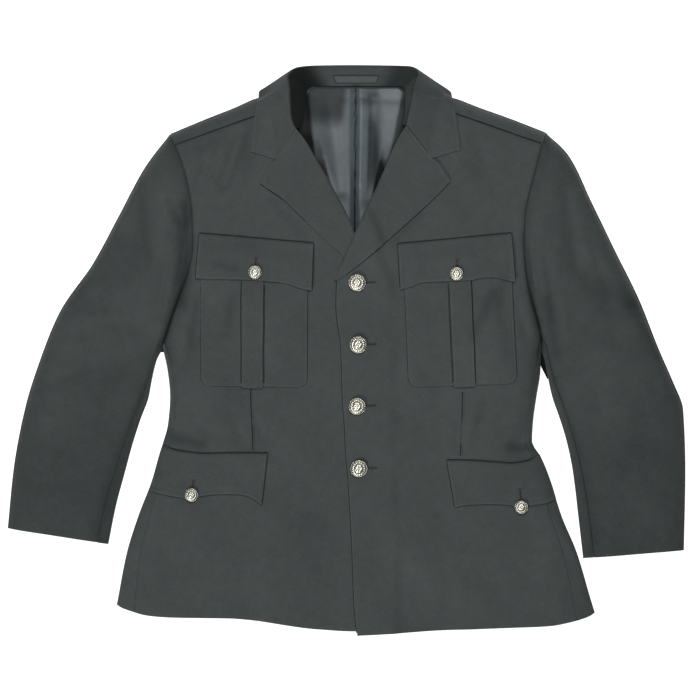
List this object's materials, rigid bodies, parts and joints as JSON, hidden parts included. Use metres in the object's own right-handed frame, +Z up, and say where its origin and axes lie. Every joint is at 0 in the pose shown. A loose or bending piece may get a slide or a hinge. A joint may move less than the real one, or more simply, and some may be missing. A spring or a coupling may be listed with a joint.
{
  "type": "police uniform tunic",
  "caption": "Buttoned uniform tunic laid flat, with notched lapels, breast pockets with flaps and box pleats, and flapped hip pockets.",
  "frame": {"origin": "on the surface that the tunic lies on, below the middle of its outline box", "axes": "+X to the wearer's left across the shoulders and sleeves, +Y from the hem to the collar, +Z up, out of the tunic's front"},
  "size_m": [0.8951, 0.7528, 0.0379],
  "materials": {
    "wool": "dark green-grey worsted barathea, matt with a faint sheen",
    "satin": "grey satin lining, soft sheen",
    "button_metal": "pale silver-gilt plate with a worn relief"
  },
  "bodies": {
    "root": {"back": "wool", "front_left": "wool", "front_right": "wool", "top_sleeve_left": "wool", "top_sleeve_right": "wool", "under_sleeve_left": "wool", "under_sleeve_right": "wool", "lapel_left": "wool", "lapel_right": "wool", "collar": "wool", "back_lining": "satin", "hanger_strap": "wool", "breast_pocket_left": "wool", "breast_pocket_right": "wool", "breast_pleat_left": "wool", "breast_pleat_right": "wool", "breast_flap_left": "wool", "breast_flap_right": "wool", "breast_button_left": "button_metal", "breast_button_right": "button_metal", "hip_flap_left": "wool", "hip_flap_right": "wool", "hip_button_left": "button_metal", "hip_button_right": "button_metal", "front_button_1": "button_metal", "front_button_2": "button_metal", "front_button_3": "button_metal", "front_button_4": "button_metal"}
  },
  "joints": []
}
